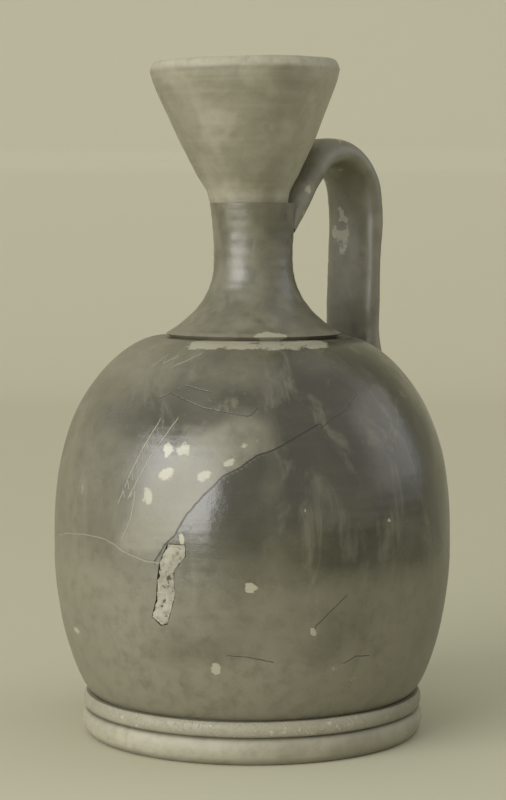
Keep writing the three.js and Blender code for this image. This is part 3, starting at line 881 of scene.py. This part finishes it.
def strap_line(count):
    """Points along the strap's middle line in its own upright plane, as (distance from the axis, height)."""
    arch = [
        (
            HANDLE_DROP_RADIUS - HANDLE_BEND * (1 - math.cos(math.radians(a))),
            HANDLE_TOP - HANDLE_BEND * (1 - math.sin(math.radians(a))),
        )
        for a in (150, 125, 100, 75, 50, 25, 0)
    ]
    route = np.array([
        (WAIST_RADIUS - 4, NECK_TOP - 6), (WAIST_RADIUS + 1.2, NECK_TOP + 0.6), *arch,
        (HANDLE_DROP_RADIUS - 0.4, (HANDLE_TOP + SEAT_Z) / 2 - 6), (HANDLE_DROP_RADIUS - 0.8, SEAT_Z + 2),
        (HANDLE_DROP_RADIUS - 0.4, SEAT_Z - 9), (HANDLE_DROP_RADIUS + 1, SEAT_Z - 18),
        (HANDLE_DROP_RADIUS + 1.8, SEAT_Z - 28.4),
    ])
    chord = np.concatenate([[0], np.cumsum(np.hypot(*np.diff(route, axis=0).T))])
    slope = np.gradient(route, chord, axis=0)
    at = np.linspace(0, chord[-1], count)
    i = np.clip(np.searchsorted(chord, at) - 1, 0, len(chord) - 2)
    step = chord[i + 1] - chord[i]
    t = ((at - chord[i]) / step)[:, None]
    step = step[:, None]
    return (
        (2 * t ** 3 - 3 * t ** 2 + 1) * route[i] + (t ** 3 - 2 * t ** 2 + t) * step * slope[i]
        + (3 * t ** 2 - 2 * t ** 3) * route[i + 1] + (t ** 3 - t ** 2) * step * slope[i + 1]
    )


class OILJUG_OT_handle(bpy.types.Operator):
    """Pull the strap handle and press its ends on the neck and the shoulder"""
    bl_idname = "oiljug.handle"
    bl_label = "Handle"

    def execute(self, context):
        rings, sides = 150, 56
        deselect_all()
        bpy.ops.mesh.primitive_circle_add(vertices=sides, radius=1, fill_type="NGON")
        strap = context.object
        strap.name = strap.data.name = "jug_handle"
        bpy.ops.object.mode_set(mode="EDIT")
        bpy.ops.mesh.select_all(action="SELECT")
        for _ in range(rings - 1):
            bpy.ops.mesh.extrude_region_move(TRANSFORM_OT_translate={"value": (0, 0, 1)})
        close_up()
        self.bend(strap, rings)
        embed = 0.5
        cut(strap, shifted(solid_form("neck_form", offset(neck_outside(), -embed), 96), NECK_SHIFT))
        cut(strap, leaned(solid_form("mouth_form", offset(mouth_outside(), -embed), 96)))
        cut(strap, solid_form("body_form", offset(wall_outside(), -embed), 128))
        points = points_of(strap) / MM
        cloud = noise_at(points, 8, 53) * 0.5 + 0.5
        worn_and_lit = 0.75 + 0.45 * smooth(0.45, 0.8, cloud) + 0.3 * smooth(148, 156, points[:, 2])
        store(strap, "wear_and_light", np.clip(worn_and_lit, 0, 1))
        store(strap, "pale", np.clip(0.7 * smooth(0.78, 0.86, cloud), 0, 1))
        shade(strap, 40)
        finish(strap, glaze("worn_glaze_handle", context.scene.oiljug_glaze), "handle")
        return {"FINISHED"}

    def bend(self, strap, rings):
        """Lays the straight strap along its route."""
        line = strap_line(rings)
        along = np.gradient(line, axis=0)
        along /= np.hypot(*along.T)[:, None]
        points = points_of(strap)
        ring = np.clip(np.rint(points[:, 2]).astype(int), 0, rings - 1)
        share = ring / (rings - 1)
        arch = smooth(0.35, 0.75, 1 - share)
        root = smooth(0.74, 0.86, share)
        spring = 1 - smooth(0.05, 0.16, share)
        thick = (HANDLE_THICKNESS + (ARCH_THICKNESS - HANDLE_THICKNESS) * arch) / 2 * (1 + 0.35 * root + 0.12 * spring)
        wide = HANDLE_WIDTH / 2 * (1 + 0.14 * root - 0.04 * spring)
        across = wide * np.sign(points[:, 0]) * np.abs(points[:, 0]) ** 0.8
        out = thick * np.sign(points[:, 1]) * np.abs(points[:, 1]) ** 0.8
        radius = line[ring, 0] + out * along[ring, 1]
        height = line[ring, 1] - out * along[ring, 0]
        c, s = math.cos(HANDLE_AZIMUTH), math.sin(HANDLE_AZIMUTH)
        placed = np.stack([radius * c - across * s, radius * s + across * c, height], axis=1) * MM
        move_points(strap, placed)
        activate(strap)
        bpy.ops.object.mode_set(mode="EDIT")
        close_up()
        hand_made(strap, 0.22, 10, 51)


class OILJUG_OT_stage(bpy.types.Operator):
    """Set the table, the backdrop, the lights and the camera"""
    bl_idname = "oiljug.stage"
    bl_label = "Stage"

    def execute(self, context):
        look = context.scene.oiljug_stage
        self.table(look)
        self.lights(look)
        self.camera(context)
        return {"FINISHED"}

    def table(self, look):
        """A sheet that lies flat under the jug and curves up behind it."""
        deselect_all()
        bpy.ops.mesh.primitive_plane_add(size=6, location=(0, -1.6, 0))
        sheet = bpy.context.object
        sheet.name = "table_and_backdrop"
        bpy.ops.object.mode_set(mode="EDIT")
        bpy.ops.mesh.select_all(action="DESELECT")
        mesh = bmesh.from_edit_mesh(sheet.data)
        for edge in mesh.edges:
            edge.select = all(v.co.y > 0 for v in edge.verts)
        mesh.select_flush(True)
        bmesh.update_edit_mesh(sheet.data)
        bpy.ops.mesh.extrude_region_move(TRANSFORM_OT_translate={"value": (0, 0.5, 0.4)})
        bpy.ops.mesh.extrude_region_move(TRANSFORM_OT_translate={"value": (0, 0.1, 3.0)})
        bpy.ops.object.mode_set(mode="OBJECT")
        bpy.ops.object.transform_apply(location=True, rotation=True, scale=True)
        bevel = sheet.modifiers.new("curve", "BEVEL")
        bevel.width = 0.6
        bevel.segments = 24
        bevel.limit_method = "ANGLE"
        bpy.ops.object.modifier_apply(modifier=bevel.name)
        bpy.ops.object.shade_smooth()
        n = Nodes("table")
        separate = n.tree.nodes.new("ShaderNodeSeparateXYZ")
        n.put(n.coords, separate.inputs[0])
        tone = n.mix(n.ramp(separate.outputs["Y"], 0.0, 1.3), tuple(look.ground), tuple(look.backdrop))
        n.put(tone, n.shader.inputs["Base Color"])
        n.shader.inputs["Roughness"].default_value = 0.9
        n.shader.inputs["Specular IOR Level"].default_value = 0.1
        sheet.data.materials.append(n.material)

    def lights(self, look):
        self.panel("window", look.window, (-0.80, -0.82, 0.36), (1.00, 0.72))
        self.panel("fill", look.fill, (1.02, 0.10, 0.50), (0.70, 0.70))
        world = bpy.data.worlds.new("room")
        bpy.context.scene.world = world
        world.use_nodes = True
        background = world.node_tree.nodes["Background"]
        background.inputs[0].default_value = (1, 1, 1, 1)
        background.inputs[1].default_value = look.sky

    def panel(self, name, power, place, size):
        """A soft rectangular light that faces the jug."""
        deselect_all()
        bpy.ops.object.light_add(type="AREA", location=place)
        light = bpy.context.object
        light.name = name
        light.data.shape = "RECTANGLE"
        light.data.size, light.data.size_y = size
        light.data.energy = power
        aim = Vector((0, 0, 0.09)) - Vector(place)
        light.rotation_euler = aim.to_track_quat("-Z", "Y").to_euler()

    def camera(self, context):
        """The photograph's viewpoint: 0.6 m in front, a little above the middle and tipped down."""
        bpy.ops.object.camera_add(location=(0.0002, -0.600, 0.1366))
        camera = bpy.context.object
        camera.rotation_euler = (math.radians(90 - 4.505), 0, 0)
        camera.data.lens = 100.5
        camera.data.sensor_width = 36
        camera.data.clip_start = 0.01
        context.scene.camera = camera
        context.scene.view_settings.view_transform = "Standard"


class OILJUG_PT_panel(bpy.types.Panel):
    bl_idname = "OILJUG_PT_panel"
    bl_label = "Oil jug"
    bl_space_type = "VIEW_3D"
    bl_region_type = "UI"
    bl_category = "Oil jug"

    def draw(self, context):
        for operator in OPERATORS:
            self.layout.operator(operator.bl_idname)
        for group in LOOKS:
            settings = getattr(context.scene, group)
            for name in settings.__annotations__:
                self.layout.prop(settings, name)


OPERATORS = (
    OILJUG_OT_stage, OILJUG_OT_foot, OILJUG_OT_body, OILJUG_OT_neck, OILJUG_OT_mouth, OILJUG_OT_handle,
)
LOOKS = {
    "oiljug_glaze": GlazeLook, "oiljug_matt": MattLook, "oiljug_plaster": PlasterLook, "oiljug_stage": StageLook,
}


def register():
    for cls in (*LOOKS.values(), *OPERATORS, OILJUG_PT_panel):
        bpy.utils.register_class(cls)
    for name, group in LOOKS.items():
        setattr(bpy.types.Scene, name, bpy.props.PointerProperty(type=group))


def unregister():
    for name in LOOKS:
        delattr(bpy.types.Scene, name)
    for cls in (OILJUG_PT_panel, *reversed(OPERATORS), *reversed(LOOKS.values())):
        bpy.utils.unregister_class(cls)


def main():
    register()
    bpy.ops.oiljug.stage()
    bpy.ops.oiljug.foot()
    bpy.ops.oiljug.body()
    bpy.ops.oiljug.neck()
    bpy.ops.oiljug.mouth()
    bpy.ops.oiljug.handle()


if __name__ == "__main__":
    main()
